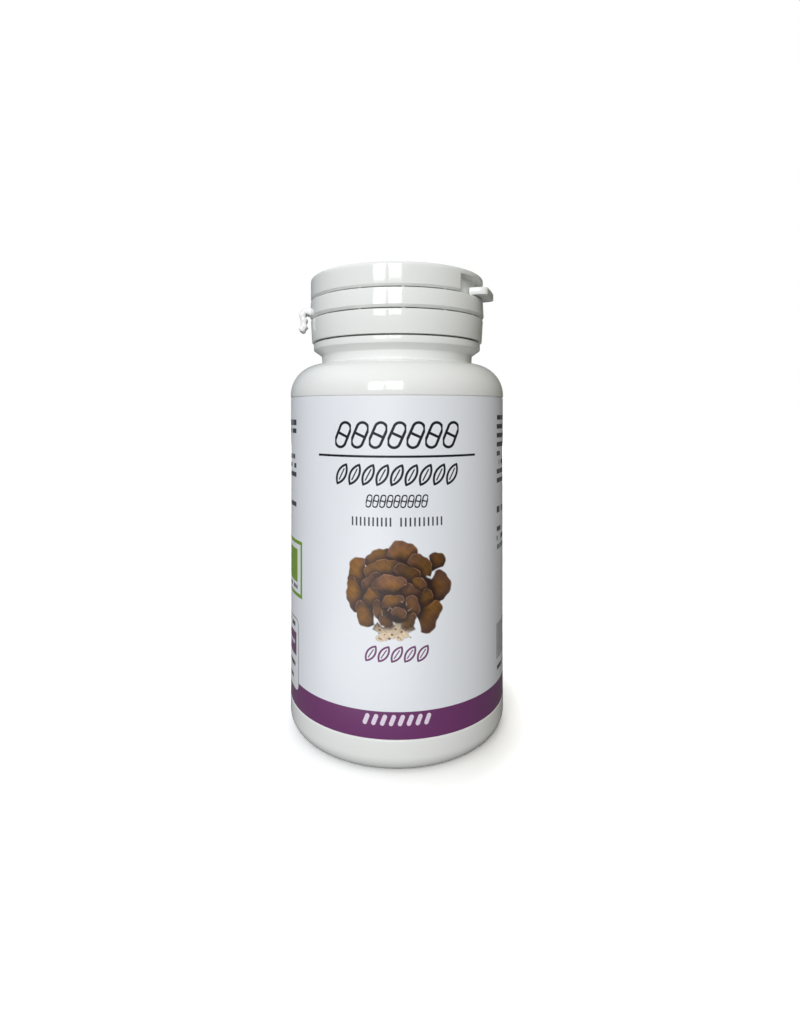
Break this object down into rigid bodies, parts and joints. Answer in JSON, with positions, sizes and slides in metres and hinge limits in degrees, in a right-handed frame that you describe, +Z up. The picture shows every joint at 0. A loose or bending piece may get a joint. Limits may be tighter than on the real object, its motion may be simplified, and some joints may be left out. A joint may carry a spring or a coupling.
{
  "type": "capsule bottle",
  "caption": "White plastic capsule bottle with a wrap-round label and a push-on closure: base ring, tear-off strip with pull tab, and a hinged flip lid with thumb tab.",
  "frame": {"origin": "centre of the foot, on the bottle's axis, at the level of the flat foot ring", "axes": "+Z up along the bottle's axis, -Y towards the front of the label, +X to the right of the label's front"},
  "size_m": [0.054, 0.054, 0.1107],
  "materials": {
    "bottle_plastic": "glossy opaque white, blow moulded",
    "cap_plastic": "glossy opaque white, injection moulded",
    "label_film": "satin printed film, pale grey-white with a purple band"
  },
  "bodies": {
    "bottle": {"bottle": "bottle_plastic", "label": "label_film", "base_ring": "cap_plastic", "tear_strip": "cap_plastic", "hinge_strap": "cap_plastic"},
    "lid": {"lid": "cap_plastic"}
  },
  "joints": [
    {"name": "lid_hinge", "type": "hinge", "parent": "bottle", "child": "lid", "pos_m": [-0.02111, 0.00686, 0.1053], "axis": [-0.309, -0.9511, 0], "range_deg": [0, 130]}
  ]
}
